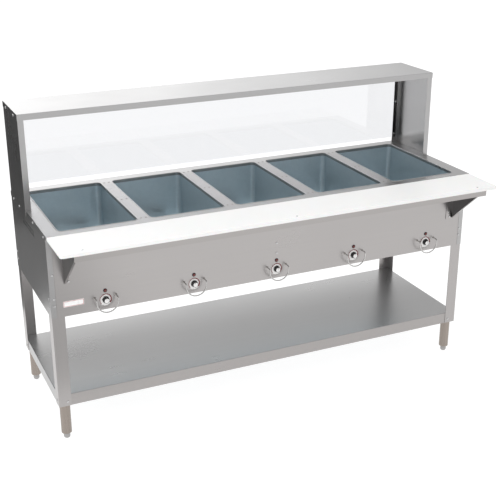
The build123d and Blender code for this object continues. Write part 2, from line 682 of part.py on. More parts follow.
def knob_guard(x):
    """Bent wire: two legs off the panel joined by a hanging half hoop."""
    front = PANEL_FACE - HOOP_STANDOFF
    lines = []
    for side in (-1, 1):
        edge = x + side * HOOP_RADIUS
        knee = (edge, front, HOOP_LEG_Z)
        leg_start = (edge, PANEL_FACE, HOOP_LEG_Z)
        leg_end = (edge, front, CONTROL_Z)
        lines.append(FilletPolyline(leg_start, knee, leg_end, radius=HOOP_BEND))
    left, right = (x - HOOP_RADIUS, front, CONTROL_Z), (x + HOOP_RADIUS, front, CONTROL_Z)
    hoop = ThreePointArc(left, (x, front, CONTROL_Z - HOOP_RADIUS), right)
    path = Wire(lines[0].edges() + hoop.edges() + lines[1].edges())
    start = (x - HOOP_RADIUS, PANEL_FACE, HOOP_LEG_Z)
    return sweep(Plane(origin=start, z_dir=(0, -1, 0)) * Circle(WIRE_RADIUS), path)


def terminal_box():
    """Closed box that holds the supply terminals, on the bottom pan."""
    floor = PANEL_BOTTOM + 2 * SHEET
    box = block(TERMINAL_X, TERMINAL_Y, (floor, floor + TERMINAL_HEIGHT))
    return fillet(box.edges().filter_by(Axis.Z), TERMINAL_CORNER)


def cable_gland():
    """Screwed gland through the bottom pan: nut above, hexagon and dome below."""
    pan = PANEL_BOTTOM + SHEET
    place = Pos(GLAND_X, GLAND_Y, 0)
    above = SHEET + GLAND_NUT + GLAND_THREAD_END
    hexagon = extrude(Pos(0, 0, pan) * RegularPolygon(GLAND_HEX, 6), -GLAND_HEX_HEIGHT)
    dome = rod((0, 0, pan - GLAND_DROP), (0, 0, 1), GLAND_THREAD, GLAND_DROP)
    dome = fillet(dome.faces().sort_by(Axis.Z)[0].edges(), GLAND_ROUND)
    nut = extrude(Pos(0, 0, pan + SHEET) * RegularPolygon(GLAND_HEX, 6), GLAND_NUT)
    thread = rod((0, 0, pan), (0, 0, 1), GLAND_THREAD, above)
    gland = hexagon + dome + nut + thread
    drop = (0, 0, pan - GLAND_DROP)
    return place * (gland - rod(drop, (0, 0, 1), GLAND_BORE, GLAND_DROP + above))


def wiring_harness():
    """Sleeved loom along the switches, with a tail to each and a feed to the terminal box."""
    z = CONTROL_Z
    start = CONTROL_X[0] - 2 * HARNESS_RADIUS
    length = CONTROL_X[-1] + 2 * HARNESS_RADIUS - start
    loom = rod((start, HARNESS_Y, z), (1, 0, 0), HARNESS_RADIUS, length)
    back = PANEL_BACK + SWITCH_SIZE[1]
    for x in CONTROL_X:
        loom += rod((x, back, z), (0, 1, 0), TAIL_RADIUS, HARNESS_Y - back)
    middle = (TERMINAL_X[0] + TERMINAL_X[1]) / 2
    return loom + rod((middle, HARNESS_Y, z), (0, 1, 0), TAIL_RADIUS, TERMINAL_Y[0] - HARNESS_Y)


def badge():
    """Plain plate with no mark on it."""
    x, z = BADGE_CENTRE
    width, height = BADGE_SIZE
    span = (PANEL_FACE - BADGE_THICKNESS, PANEL_FACE)
    plate = block((x - width / 2, x + width / 2), span, (z - height / 2, z + height / 2))
    return fillet(plate.edges().filter_by(Axis.Y), BADGE_CORNER)


def save(name, *pieces):
    """Write one node; several pieces stay separate solids."""
    solids = [solid for piece in pieces for solid in piece.solids()]
    export_step(solids[0] if len(solids) == 1 else Compound(solids), f"parts/{name}.step")


def main():
    os.makedirs("parts", exist_ok=True)
    seats = fastener_seats()
    shanks = []
    for start, out in seats:
        inward = tuple(-d for d in out)
        shanks.append(rod(start, inward, SHANK_RADIUS, SHANK_LENGTH))
    save("body_screws", *[fastener(start, out) for start, out in seats])
    save("board_screws", *[board_screw(x) for x in BOARD_SCREW_X])
    save("worktop", drilled(worktop(), shanks))
    for number, x in enumerate(WELL_X, 1):
        save(f"well_liner_{number}", well_liner(x))
        save(f"heating_element_{number}", heating_element(x))
    save("insulation", insulation())
    save("bottom_pan", bottom_pan())
    save("control_panel", drilled(control_panel(), shanks))
    save("rear_panel", drilled(rear_panel(), shanks))
    for side, hand in ((-1, "left"), (1, "right")):
        save(f"end_panel_{hand}", drilled(end_panel(side), shanks))
        save(f"overshelf_end_{hand}", drilled(overshelf_end(side), shanks))
        save(f"board_bracket_{hand}", drilled(board_bracket(side), shanks))
        for end, place in ((-1, "front"), (1, "rear")):
            save(f"leg_{place}_{hand}", drilled(leg(side, end), shanks))
            save(f"foot_{place}_{hand}", foot(side * TUBE_X, TUBE_Y[(end + 1) // 2]))
    save("leg_tubes", *[leg_tube(side * TUBE_X, y) for side in (-1, 1) for y in TUBE_Y])
    save("undershelf", drilled(undershelf(), shanks))
    save("undershelf_channels", *[undershelf_channel(y) for y in CHANNEL_Y])
    save("cutting_board", cutting_board())
    save("board_shelf", board_shelf())
    save("overshelf_top", drilled(overshelf_top(), shanks))
    save("sneeze_guard", drilled(sneeze_guard(), shanks))
    for number, x in enumerate(CONTROL_X, 1):
        save(f"knob_{number}", knob(x))
        save(f"switch_shaft_{number}", switch_shaft(x))
        save(f"knob_guard_{number}", knob_guard(x))
    save("heat_switches", *[heat_switch(x) for x in CONTROL_X])
    save("dial_plates", *[dial_plate(x) for x in CONTROL_X])
    save("pilot_lights", *[pilot_light(x) for x in CONTROL_X])
    save("terminal_box", terminal_box())
    save("cable_gland", cable_gland())
    save("wiring_harness", wiring_harness())
    save("badge", badge())


main()
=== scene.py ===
"""Looks, detail pieces, studio and camera for the five-well steam table.

Metres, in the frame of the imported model: +Z is up and the operator stands at -Y.
"""

import math

import bmesh
import bpy
from mathutils import Matrix, Vector, noise


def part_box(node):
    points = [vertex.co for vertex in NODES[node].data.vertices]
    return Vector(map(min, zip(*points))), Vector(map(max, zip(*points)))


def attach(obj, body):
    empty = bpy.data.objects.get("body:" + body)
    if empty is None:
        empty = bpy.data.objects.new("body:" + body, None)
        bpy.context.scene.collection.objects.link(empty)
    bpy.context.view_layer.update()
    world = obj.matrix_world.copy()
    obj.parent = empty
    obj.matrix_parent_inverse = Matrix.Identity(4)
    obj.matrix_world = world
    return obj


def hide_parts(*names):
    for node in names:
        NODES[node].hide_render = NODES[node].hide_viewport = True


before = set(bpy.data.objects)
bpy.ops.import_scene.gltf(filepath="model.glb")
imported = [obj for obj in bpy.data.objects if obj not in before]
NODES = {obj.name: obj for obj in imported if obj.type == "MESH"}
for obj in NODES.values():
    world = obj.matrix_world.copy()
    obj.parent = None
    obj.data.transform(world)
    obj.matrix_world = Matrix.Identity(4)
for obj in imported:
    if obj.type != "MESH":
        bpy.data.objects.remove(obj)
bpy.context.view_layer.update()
MM = 0.001
NUMBERS = range(1, 6)
FEET = ("front_left", "front_right", "rear_left", "rear_right")

# ---------------------------------------------------------------- materials


def add_node(tree, kind, inputs, **fields):
    """Adds a shader node. Each input is given another node's socket or a plain value."""
    node = tree.nodes.new(kind)
    for field, value in fields.items():
        setattr(node, field, value)
    for socket, value in inputs.items():
        if isinstance(value, bpy.types.NodeSocket):
            tree.links.new(value, node.inputs[socket])
        else:
            node.inputs[socket].default_value = value
    return node


class Finish:
    """A Principled material, and the few texture nodes that the finishes share."""

    def __init__(self, name, **settings):
        self.material = bpy.data.materials.new(name)
        self.material.use_nodes = True
        self.tree = self.material.node_tree
        self.surface = self.tree.nodes["Principled BSDF"]
        self.place = self.tree.nodes.new("ShaderNodeTexCoord").outputs["Object"]
        self.normal = None
        for socket, value in settings.items():
            self.surface.inputs[socket.replace("_", " ")].default_value = value

    def add(self, kind, inputs, **fields):
        return add_node(self.tree, kind, inputs, **fields)

    def at(self, scale, shift=(0, 0, 0)):
        """Object coordinates, stretched by scale along each axis."""
        return self.add("ShaderNodeMapping", {0: self.place, 1: shift, 3: scale}).outputs[0]

    def noise(self, scale, detail=2.0, rough=0.5, shift=(0, 0, 0)):
        vector = self.at(scale, shift)
        made = self.add("ShaderNodeTexNoise", {0: vector, 2: 1.0, 3: detail, 4: rough})
        return made.outputs[0]

    def cells(self, scale):
        """A different flat colour in each cell."""
        made = self.add("ShaderNodeTexVoronoi", {0: self.at(scale), 2: 1.0})
        return made.outputs["Color"]

    def span(self, value, low, high, start=0.3, end=0.7):
        """Value's range from start to end, mapped to low and high."""
        made = self.add("ShaderNodeMapRange", {0: value, 1: start, 2: end, 3: low, 4: high})
        return made.outputs[0]

    def mix(self, share, first, second):
        made = self.add("ShaderNodeMix", {0: share, 6: first, 7: second}, data_type="RGBA")
        return made.outputs[2]

    def math(self, operation, first, second):
        made = self.add("ShaderNodeMath", {0: first, 1: second}, operation=operation)
        return made.outputs[0]

    def wire(self, socket, output):
        self.tree.links.new(output, self.surface.inputs[socket])

    def bump(self, height, depth, strength=1.0):
        """Depth is how far, in metres, the full range of height stands out."""
        inputs = {"Height": height, "Distance": depth, "Strength": strength}
        if self.normal is not None:
            inputs["Normal"] = self.normal
        self.normal = self.add("ShaderNodeBump", inputs).outputs[0]
        self.wire("Normal", self.normal)


def rgb(red, green, blue):
    return (red, green, blue, 1.0)


def steel(name, grain, light, dark, rough, waves=0.0012, sides=None, axis=0):
    """Brushed sheet: grain is the texture scale along each axis, low along the brushing.

    sides is painted light: the colour painted on the faces that look along that axis, for how the
    light falls on them; the real sheet is one colour all round.
    """
    made = Finish(name, Metallic=1.0)
    fine = made.noise(grain, 3.0, 0.6)
    broad = made.noise(tuple(g * 0.12 for g in grain), 2.0, 0.5, (3, 1, 4))
    cloud = made.noise((2.6, 2.6, 2.6), 3.0, 0.55, (1, 5, 9))
    streaks = made.math("MULTIPLY", made.math("ADD", fine, broad), 0.5)
    tone = made.mix(made.span(streaks, 0.0, 1.0), dark, light)
    # Painted light: faces that look along the axis are painted in the sides colour, for how the
    # light falls on them.
    if sides:
        normal = made.tree.nodes.new("ShaderNodeTexCoord").outputs["Normal"]
        part = made.add("ShaderNodeSeparateXYZ", {0: normal}).outputs[axis]
        facing = made.math("ABSOLUTE", part, 0.0)
        tone = made.mix(made.span(facing, 0.0, 1.0, 0.5, 0.8), tone, sides)
    made.wire("Base Color", tone)
    handled = made.math("ADD", made.span(streaks, -0.01, 0.01), made.span(cloud, -0.03, 0.03))
    made.wire("Roughness", made.math("ADD", handled, rough))
    made.bump(made.noise((1.9, 1.9, 1.9), 1.0, 0.4, (7, 2, 3)), waves)
    made.bump(fine, 0.000004)
    return made.material


def galvanised(name, light, dark, rough):
    """Zinc coat: a faint crystal pattern of cells that differ in tone and shine."""
    made = Finish(name, Metallic=1.0)
    cells = made.cells((75, 75, 75))
    tone = made.add("ShaderNodeSeparateColor", {0: cells}).outputs[0]
    cloud = made.noise((9, 9, 9), 4.0, 0.6)
    share = made.math("ADD", made.span(tone, 0.0, 0.45, 0.0, 1.0), made.span(cloud, 0.0, 0.55))
    made.wire("Base Color", made.mix(share, dark, light))
    made.wire("Roughness", made.math("ADD", made.span(tone, -0.05, 0.05, 0.0, 1.0), rough))
    made.bump(made.noise((300, 300, 300), 2.0), 0.00002)
    return made.material


def plated(name, colour, rough, marks=160):
    """Bright plating with a slight unevenness."""
    made = Finish(name, Metallic=1.0, Base_Color=colour)
    worn = made.noise((marks, marks, marks), 4.0, 0.6)
    made.wire("Roughness", made.span(worn, rough - 0.05, rough + 0.07))
    made.bump(worn, 0.00002)
    return made.material


def moulded(name, colour, rough, pitch=1400, depth=0.00002, **settings):
    """Moulded or coated plastic with a fine even texture."""
    made = Finish(name, **settings)
    shade = made.noise((60, 60, 60), 3.0, 0.6)
    darker = rgb(*(0.86 * c for c in colour[:3]))
    made.wire("Base Color", made.mix(made.span(shade, 0.0, 1.0), darker, colour))
    made.wire("Roughness", made.span(shade, rough - 0.05, rough + 0.05))
    made.bump(made.noise((pitch, pitch, pitch), 2.0), depth)
    return made.material


def board_plastic(name):
    """White polyethylene: waxy, faintly pebbled, with a few fine knife marks along it."""
    made = Finish(name, IOR=1.52, Subsurface_Weight=0.08, Subsurface_Scale=0.004)
    cloud = made.noise((5, 5, 5), 3.0, 0.6)
    tone = made.mix(made.span(cloud, 0.0, 1.0), rgb(0.83, 0.83, 0.82), rgb(0.855, 0.855, 0.85))
    cuts = made.noise((9, 420, 9), 2.0, 0.7, (2, 8, 1))
    marked = made.span(cuts, 1.0, 0.0, 0.24, 0.30)
    share = made.math("MULTIPLY", marked, 0.25)
    made.wire("Base Color", made.mix(share, tone, rgb(0.70, 0.70, 0.68)))
    made.wire("Roughness", made.span(cloud, 0.38, 0.50))
    made.bump(made.noise((650, 650, 650), 2.0), 0.00005)
    made.bump(marked, -0.00008)
    return made.material


def clear_sheet(name):
    """Clear acrylic, with a little haze where it has been wiped."""
    made = Finish(name, IOR=1.49, Transmission_Weight=1.0, Base_Color=rgb(0.87, 0.875, 0.89))
    wiped = made.noise((3.5, 3.5, 1.2), 4.0, 0.6)
    made.wire("Roughness", made.span(wiped, 0.0, 0.035, 0.45, 0.75))
    return made.material


def blanket(name):
    """Fibreglass: soft yellow, with long fibres."""
    made = Finish(name, Sheen_Weight=0.4, Roughness=0.95)
    fibres = made.noise((90, 420, 420), 5.0, 0.7)
    share = made.span(fibres, 0, 1)
    made.wire("Base Color", made.mix(share, rgb(0.62, 0.50, 0.20), rgb(0.84, 0.75, 0.42)))
    made.bump(fibres, 0.0015)
    return made.material


def sheath(name):
    """Heating element: dark oxidised tube with mottled heat colours."""
    made = Finish(name, Metallic=0.85)
    mottle = made.noise((70, 70, 70), 5.0, 0.65)
    share = made.span(mottle, 0, 1)
    made.wire("Base Color", made.mix(share, rgb(0.07, 0.06, 0.06), rgb(0.20, 0.16, 0.14)))
    made.wire("Roughness", made.span(mottle, 0.38, 0.62))
    made.bump(mottle, 0.0001)
    return made.material


LIGHT_STEEL = rgb(0.443, 0.439, 0.439)
DARK_STEEL = rgb(0.427, 0.424, 0.424)
WARM_LIGHT = rgb(0.443, 0.425, 0.419)
WARM_DARK = rgb(0.427, 0.410, 0.404)
TOP_LIGHT = rgb(0.421, 0.417, 0.417)
TOP_DARK = rgb(0.406, 0.402, 0.402)
# Painted shade and warmth: the front faces of the shelf lips are painted darker and warmer than the
# shelf tops.
SHELF_LIP_PAINTED_SHADE = rgb(0.408, 0.389, 0.381)
# Painted shade: the gusset webs, which face along X, are painted dark for the shade under the board.
GUSSET_PAINTED_SHADE = rgb(0.15, 0.148, 0.15)
TUBE_LIGHT = rgb(0.37, 0.325, 0.29)
TUBE_DARK = rgb(0.28, 0.245, 0.22)
ALONG_X = (5, 330, 330)
ALONG_Z = (330, 330, 5)

FINISHES = {
    "steel_x": steel("brushed_along_x", ALONG_X, LIGHT_STEEL, DARK_STEEL, 0.30),
    "steel_top": steel("brushed_top", ALONG_X, TOP_LIGHT, TOP_DARK, 0.30),
    # Shelf steel with painted shade and warmth on the faces that look along Y.
    "steel_shelf": steel(
        "brushed_shelf_painted_lip_shade", ALONG_X, LIGHT_STEEL, DARK_STEEL, 0.30, sides=SHELF_LIP_PAINTED_SHADE, axis=1
    ),
    "steel_front": steel("brushed_front", ALONG_X, WARM_LIGHT, WARM_DARK, 0.30),
    "steel_leg": steel("brushed_leg", ALONG_Z, WARM_LIGHT, WARM_DARK, 0.28),
    # Gusset steel with painted shade on its webs.
    "gusset": steel("brushed_gusset_painted_shade", ALONG_Z, WARM_LIGHT, WARM_DARK, 0.30, 0.0, GUSSET_PAINTED_SHADE),
    "steel_z": steel("brushed_along_z", ALONG_Z, LIGHT_STEEL, DARK_STEEL, 0.30),
    "zinc": galvanised("galvanised", rgb(0.76, 0.845, 0.885), rgb(0.69, 0.775, 0.82), 0.40),
    "tube": steel("satin_tube", (200, 200, 4), TUBE_LIGHT, TUBE_DARK, 0.27, 0.0),
    "screw": plated("screw_plate", rgb(0.62, 0.62, 0.62), 0.25),
    "foot": plated("foot_plate", rgb(0.40, 0.39, 0.385), 0.18, 90),
    "wire": plated("wire_plate", rgb(0.60, 0.59, 0.58), 0.2, 120),
    "weld": plated("weld_metal", rgb(0.40, 0.37, 0.35), 0.4, 900),
    "board": board_plastic("board_polyethylene"),
    "clear": clear_sheet("clear_acrylic"),
    "blanket": blanket("glass_fibre"),
    "sheath": sheath("element_sheath"),
    "black": moulded("black_phenolic", rgb(0.012, 0.012, 0.013), 0.32),
    "housing": moulded("dark_housing", rgb(0.03, 0.03, 0.033), 0.5),
    "enamel": moulded(
        "white_enamel", rgb(0.88, 0.87, 0.86), 0.22, 500, 0.00001, Coat_Weight=0.3
    ),
    "maroon": moulded("maroon_ink", rgb(0.16, 0.018, 0.022), 0.35, 500, 0.00001),
    "lens": moulded(
        "pilot_red",
        rgb(0.14, 0.012, 0.01),
        0.14,
        300,
        0.00001,
        Coat_Weight=0.8,
        Coat_Roughness=0.06,
    ),
    "label": moulded("label_white", rgb(0.96, 0.955, 0.95), 0.3, 500, 0.00001),
    "rule": moulded("label_rule", rgb(0.50, 0.05, 0.05), 0.35, 500, 0.00001),
}


def paint(finish, *names):
    """Gives CAD nodes their finish."""
    for name in names:
        slots = NODES[name].material_slots
        if not slots:
            NODES[name].data.materials.append(FINISHES[finish])
        for slot in slots:
            slot.material = FINISHES[finish]


SIDES = ("left", "right")
paint("steel_x", "rear_panel", "overshelf_top")
paint("steel_top", "worktop")
paint("steel_shelf", "undershelf", "board_shelf")
paint("steel_front", "control_panel")
for side in SIDES:
    paint("steel_z", f"end_panel_{side}", f"overshelf_end_{side}")
    paint("gusset", f"board_bracket_{side}")
    paint("steel_leg", f"leg_front_{side}", f"leg_rear_{side}")
paint("zinc", "bottom_pan", "undershelf_channels", "terminal_box")
paint("screw", "body_screws", "board_screws")
paint("tube", "leg_tubes")
paint("board", "cutting_board")
paint("clear", "sneeze_guard")
paint("blanket", "insulation")
paint("housing", "heat_switches", "cable_gland", "wiring_harness")
for number in NUMBERS:
    paint("zinc", f"well_liner_{number}")
    paint("sheath", f"heating_element_{number}")
    paint("wire", f"knob_guard_{number}", f"switch_shaft_{number}")

# ---------------------------------------------------------------- detail pieces

TURN = 2 * math.pi
SHARP = math.radians(32)


def lathe(bm, profile, steps, place, finish=0, ripple=None):
    """Spins (radius, height) points, in mm, about the Z axis of the matrix place.

    ripple(radius, height, angle) gives the radius to use at a point.
    """
    rings = []
    for radius, height in profile:
        ring = []
        for step in range(steps if radius else 1):
            angle = TURN * step / steps
            reach = ripple(radius, height, angle) if ripple and radius else radius
            point = Vector((reach * math.cos(angle), reach * math.sin(angle), height))
            ring.append(bm.verts.new(place @ (point * MM)))
        rings.append(ring)
    for low, high in zip(rings, rings[1:]):
        for step in range(steps):
            after = step + 1
            corners = [low[step % len(low)], low[after % len(low)]]
            corners += [high[after % len(high)], high[step % len(high)]]
            face = bm.faces.new(list(dict.fromkeys(corners)))
            face.material_index = finish
    return rings


def skin(bm, pairs, finish=0):
    """Joins the two rings of each pair, which have as many points, by a band of faces."""
    for low, high in pairs:
        for a in range(len(low)):
            b = (a + 1) % len(low)
            bm.faces.new((low[a], low[b], high[b], high[a])).material_index = finish


def close_rings(bm, rings):
    """Joins the last ring of a lathe to its first, for a ring-shaped piece."""
    skin(bm, [(rings[-1], rings[0])])


def rounded_loop(width, height, corner, steps=6):
    """The corner points of a rounded rectangle about the origin, anticlockwise, in mm."""
    points = []
    for quarter, (sx, sy) in enumerate(((1, 1), (-1, 1), (-1, -1), (1, -1))):
        for step in range(steps + 1):
            angle = math.pi / 2 * (quarter + step / steps)
            x = sx * (width / 2 - corner) + corner * math.cos(angle)
            y = sy * (height / 2 - corner) + corner * math.sin(angle)
            points.append((x, y))
    return points


def stack(bm, place, loops):
    """Makes the points of (outline, height) loops, in mm, in the matrix place."""
    rings = []
    for outline, height in loops:
        rings.append([bm.verts.new(place @ (Vector((x, y, height)) * MM)) for x, y in outline])
    return rings


def layer(bm, place, loops, finish=0):
    """A solid whose sides run through the loops, with a flat cap at each end."""
    rings = stack(bm, place, loops)
    skin(bm, zip(rings, rings[1:]), finish)
    bm.faces.new(rings[-1]).material_index = finish
    bm.faces.new(list(reversed(rings[0]))).material_index = finish


def hoop(bm, place, loops, finish=0):
    """A closed ring whose section runs through the loops and back to the first."""
    rings = stack(bm, place, loops)
    skin(bm, zip(rings, rings[1:] + rings[:1]), finish)


def bar(bm, place, xs, ys, zs, finish):
    """A small closed bar with those extents, in mm, in the matrix place."""
    outline = [(xs[0], ys[0]), (xs[1], ys[0]), (xs[1], ys[1]), (xs[0], ys[1])]
    layer(bm, place, [(outline, zs[0]), (outline, zs[1])], finish)


def piece(name, bm, finishes, body, replaced=()):
    """Makes an object of the mesh, with its finishes, body and the nodes it replaces."""
    bmesh.ops.recalc_face_normals(bm, faces=bm.faces)
    for face in bm.faces:
        face.smooth = True
    for edge in bm.edges:
        if len(edge.link_faces) == 2 and edge.calc_face_angle() > SHARP:
            edge.smooth = False
    mesh = bpy.data.meshes.new(name)
    bm.to_mesh(mesh)
    bm.free()
    for finish in finishes:
        mesh.materials.append(FINISHES[finish])
    made = bpy.data.objects.new(name, mesh)
    bpy.context.scene.collection.objects.link(made)
    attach(made, body)
    if replaced:
        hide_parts(*replaced)


def middle(node):
    """The middle of a CAD node's box."""
    low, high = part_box(node)
    return (low + high) / 2


PANEL_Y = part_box("control_panel")[0].y
FACING = Matrix(((1, 0, 0, 0), (0, 0, -1, 0), (0, 1, 0, 0), (0, 0, 0, 1)))


def on_panel(x, z):
    """A frame on the control panel: X right, Y up, Z out towards the operator."""
    return Matrix.Translation((x, PANEL_Y, z)) @ FACING


FLUTES = 20
GRIP_BOTTOM = 4.6
GRIP_TOP = 15.4


def fluted(radius, height, angle):
    """The knob's grip, with a shallow flute every eighteen degrees."""
    if not GRIP_BOTTOM < height < GRIP_TOP or radius < 9:
        return radius
    fade = min(1.0, (height - GRIP_BOTTOM) / 1.5, (GRIP_TOP - height) / 1.5)
    return radius - 0.55 * fade * (0.5 + 0.5 * math.cos(FLUTES * angle)) ** 2


def knob(number):
    """Fluted black knob with a pale inlay on its face and a pointer line."""
    centre = middle(f"knob_{number}")
    place = on_panel(centre.x, centre.z)
    bm = bmesh.new()
    profile = [(0, 12.5), (3.02, 12.5), (3.02, 1.5), (13.1, 1.5), (13.5, 1.9), (13.5, 3.6)]
    profile += [(13.2, 4.1), (12.3, 4.5), (11.95, 5.2), (11.85, 6.4), (11.5, 9.5), (11.15, 12.5)]
    profile += [(10.95, 14.2), (10.8, 15.5), (10.7, 16.4), (10.4, 17.1), (9.9, 17.45), (9.5, 17.45)]
    profile += [(9.4, 17.2), (9.4, 16.8), (0, 16.8)]
    lathe(bm, profile, 120, place, 0, fluted)
    cap = [(0, 16.8), (9.3, 16.8), (9.3, 17.05), (9.05, 17.3), (8.0, 17.42), (5.0, 17.47), (0, 17.5)]
    lathe(bm, cap, 48, place, 1)
    pointer = [(-0.5, 2.6), (0.5, 2.6), (0.7, 8.6), (0.0, 9.2), (-0.7, 8.6)]
    layer(bm, place, [(pointer, 17.2), (pointer, 17.5)])
    name = f"knob_{number}"
    piece(f"{name}_moulding", bm, ("black", "enamel"), f"{name}_turning", [name])


BAND_START = math.radians(222)
BAND_SWEEP = math.radians(264)
BAND_STEPS = 66
BAND_OUTER = 24.0
TICKS = 7


def dials():
    """White dial plates, each with a band that widens clockwise and a scale of ticks."""
    bm = bmesh.new()
    for number in NUMBERS:
        centre = middle(f"knob_{number}")
        place = on_panel(centre.x, centre.z)
        plate = [(5.0, 0.0), (24.0, 0.0), (24.3, 0.25), (24.3, 0.6), (24.0, 0.8), (5.0, 0.8)]
        close_rings(bm, lathe(bm, plate, 96, place))
        rows = []
        for step in range(BAND_STEPS + 1):
            share = step / BAND_STEPS
            angle = BAND_START - BAND_SWEEP * share
            inner = 21.6 - 3.4 * share**1.5
            row = []
            for radius, height in (
                (BAND_OUTER, 0.7),
                (BAND_OUTER, 0.9),
                (inner, 0.9),
                (inner, 0.7),
            ):
                spot = Vector((radius * math.cos(angle), radius * math.sin(angle), height))
                row.append(bm.verts.new(place @ (spot * MM)))
            rows.append(row)
        skin(bm, zip(rows, rows[1:]), 1)
        for row in (rows[0], rows[-1]):
            bm.faces.new(row).material_index = 1
        for tick in range(TICKS):
            angle = BAND_START - BAND_SWEEP * tick / (TICKS - 1)
            turn = place @ Matrix.Rotation(angle, 4, "Z")
            bar(bm, turn, (15.2, 17.2), (-0.35, 0.35), (0.7, 0.95), 1)
    piece("dial_faces", bm, ("enamel", "maroon"), "frame", ["dial_plates"])


def pilots():
    """Bezels with stepped domed lenses, and their barrels behind the panel."""
    bezels, lenses = bmesh.new(), bmesh.new()
    pilot_low, pilot_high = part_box("pilot_lights")
    z = (pilot_low.z + pilot_high.z) / 2
    for number in NUMBERS:
        place = on_panel(middle(f"knob_{number}").x, z)
        rim = [(6.0, -24.0), (6.0, 0.0), (8.0, 0.0), (8.0, 0.9), (7.6, 1.4)]
        rim += [(7.0, 1.6), (6.3, 1.6), (6.0, 1.2), (5.2, 1.2), (5.2, -24.0)]
        close_rings(bezels, lathe(bezels, rim, 48, place))
        dome = [(0, -20), (5.15, -20), (5.15, 1.3), (5.9, 1.3), (5.9, 2.6)]
        dome += [(5.5, 3.2), (5.2, 3.3), (4.6, 4.3), (3.2, 5.1), (1.6, 5.5), (0, 5.6)]
        lathe(lenses, dome, 48, place)
    piece("pilot_bezels", bezels, ("black",), "frame", ["pilot_lights"])
    piece("pilot_lenses", lenses, ("lens",), "frame")


WIRE_INSET = 2.4


def weld_beads():
    """Small uneven beads where the ends of the wire guards meet the panel."""
    bm = bmesh.new()
    for number in NUMBERS:
        low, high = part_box(f"knob_guard_{number}")
        for x in (low.x + WIRE_INSET * MM, high.x - WIRE_INSET * MM):
            place = on_panel(x, high.z - WIRE_INSET * MM)
            seed = Vector((x * 40, number, 0))

            def lump(radius, height, angle, seed=seed):
                spot = Vector((math.cos(angle) * 2, math.sin(angle) * 2, height))
                wobble = noise.noise(seed + spot)
                return radius * (1 + 0.12 * wobble * (radius > 2.5))

            bead = [(2.3, 0.02), (4.6, 0.02), (4.5, 0.5), (3.9, 1.2), (3.2, 1.9)]
            bead += [(2.6, 2.5), (2.3, 2.7)]
            close_rings(bm, lathe(bm, bead, 32, place, 0, lump))
    piece("guard_welds", bm, ("weld",), "frame")


BULLET_TOP = 25.0
STEM_TOP = 64.6
THREAD_ROOT = 4.18
THREAD_DEPTH = 0.8
THREAD_PITCH = 1.5
ROWS_PER_PITCH = 12
STEM_STEPS = 36
STEM_CHAMFER = 1.5


def foot(corner):
    """Bullet foot with a grooved collar on a threaded stem."""
    low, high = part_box(f"foot_{corner}")
    place = Matrix.Translation(((low.x + high.x) / 2, (low.y + high.y) / 2, 0))
    bm = bmesh.new()
    bullet = [(0, 0.0), (5.6, 0.0), (7.4, 0.35), (9.3, 1.3), (11.0, 2.9), (12.2, 4.9)]
    bullet += [(12.85, 7.0), (13.0, 9.0), (13.0, 16.5), (12.6, 17.2), (12.6, 17.8), (13.0, 18.4)]
    bullet += [(13.0, 23.6), (12.4, 24.6), (11.6, BULLET_TOP), (5.0, BULLET_TOP), (0, BULLET_TOP)]
    lathe(bm, bullet, 64, place)
    start = BULLET_TOP - 0.1
    count = int((STEM_TOP - BULLET_TOP) / THREAD_PITCH * ROWS_PER_PITCH)
    rows = []
    for row in range(count + 1):
        height = start + (STEM_TOP - start) * row / count
        chamfer = max(0.0, height - (STEM_TOP - STEM_CHAMFER)) * 0.5
        ring = []
        for step in range(STEM_STEPS):
            share = (height / THREAD_PITCH - step / STEM_STEPS) % 1.0
            radius = THREAD_ROOT + THREAD_DEPTH * (1 - abs(2 * share - 1)) - chamfer
            angle = TURN * step / STEM_STEPS
            spot = Vector((radius * math.cos(angle), radius * math.sin(angle), height))
            ring.append(bm.verts.new(place @ (spot * MM)))
        rows.append(ring)
    skin(bm, zip(rows, rows[1:]))
    bm.faces.new(rows[-1])
    bm.faces.new(list(reversed(rows[0])))
    name = f"foot_{corner}"
    piece(f"{name}_bullet", bm, ("foot",), f"{name}_moving", [name])


def badge():
    """Blank enamelled plate with a plain raised rule round its edge."""
    low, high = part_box("badge")
    width, height = (high.x - low.x) / MM, (high.z - low.z) / MM
    place = on_panel((low.x + high.x) / 2, (low.z + high.z) / 2)
    bm = bmesh.new()
    outer = rounded_loop(width, height, 2.0)
    inset = rounded_loop(width - 0.6, height - 0.6, 1.7)
    layer(bm, place, [(outer, 0.0), (outer, 0.5), (inset, 0.7)], 0)
    around = rounded_loop(width - 3.0, height - 3.0, 1.4)
    within = rounded_loop(width - 5.6, height - 5.6, 0.8)
    hoop(bm, place, [(around, 0.6), (around, 0.8), (within, 0.8), (within, 0.6)], 1)
    piece("badge_plate", bm, ("label", "rule"), "frame", ["badge"])


WELL_OPENING = (304.0, 505.0, 19.0)
BEAD_WIDTH = 5.0
BEAD_HEIGHT = 1.3
BEAD_STEPS = 8
BEAD_SINK = 0.4
BEAD_SET_BACK = 0.1


def well_beads():
    """The bead pressed into the worktop round each opening: half round, in one closed ring."""
    width, length, corner = WELL_OPENING
    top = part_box("worktop")[1].z
    section = [(BEAD_SET_BACK, -BEAD_SINK)]
    for step in range(BEAD_STEPS + 1):
        angle = math.pi * step / BEAD_STEPS
        out = BEAD_SET_BACK + BEAD_WIDTH / 2 * (1 - math.cos(angle))
        section.append((out, BEAD_HEIGHT * math.sin(angle)))
    section.append((BEAD_SET_BACK + BEAD_WIDTH, -BEAD_SINK))
    bm = bmesh.new()
    for number in NUMBERS:
        centre = middle(f"well_liner_{number}")
        place = Matrix.Translation((centre.x, centre.y, top))
        loops = []
        for out, height in section:
            loops.append((rounded_loop(width + 2 * out, length + 2 * out, corner + out, 8), height))
        hoop(bm, place, loops)
    piece("well_opening_beads", bm, ("steel_top",), "frame")


SPOT_APART = 10.0
SPOT_REACH = 237.5


